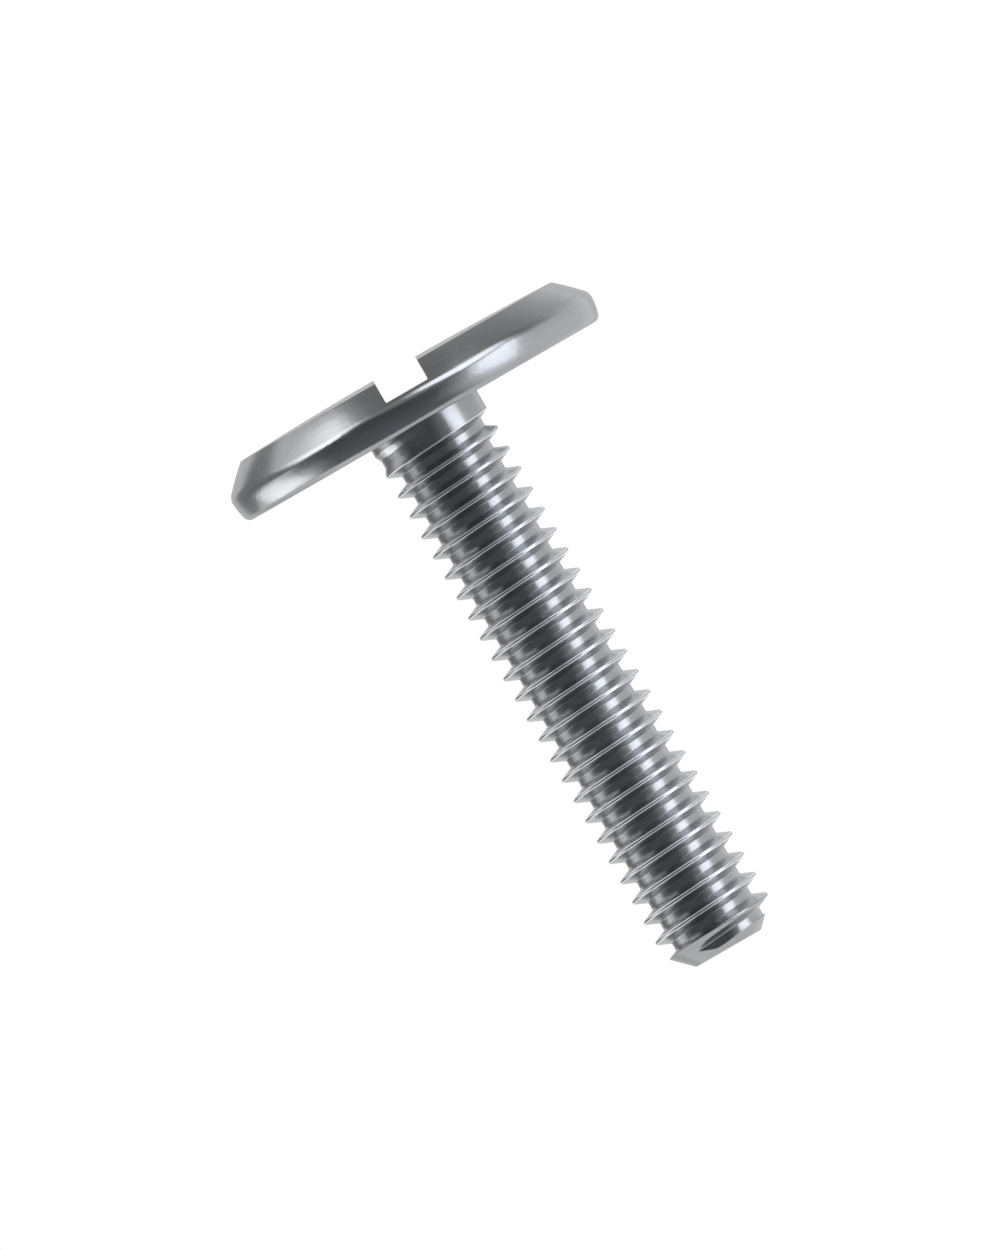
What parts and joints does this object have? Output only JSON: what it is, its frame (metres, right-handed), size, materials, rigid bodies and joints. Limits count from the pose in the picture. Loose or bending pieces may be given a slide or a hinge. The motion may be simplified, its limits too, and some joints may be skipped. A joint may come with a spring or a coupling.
{
  "type": "truss head bolt",
  "caption": "Slotted truss head bolt with a wide, low-crowned and bevelled head, a short plain neck and a right-hand thread that runs the length of the shank to a lead-in end.",
  "frame": {"origin": "centre of the bearing face under the head, on the bolt's axis", "axes": "+Z along the shank from the bearing face to the threaded end, so the bolt stands on its head; the driver slot runs along Y"},
  "size_m": [0.014, 0.014, 0.0226],
  "materials": {
    "steel": "bright polished steel with faint handling scratches"
  },
  "bodies": {
    "root": {"bolt": "steel"}
  },
  "joints": []
}
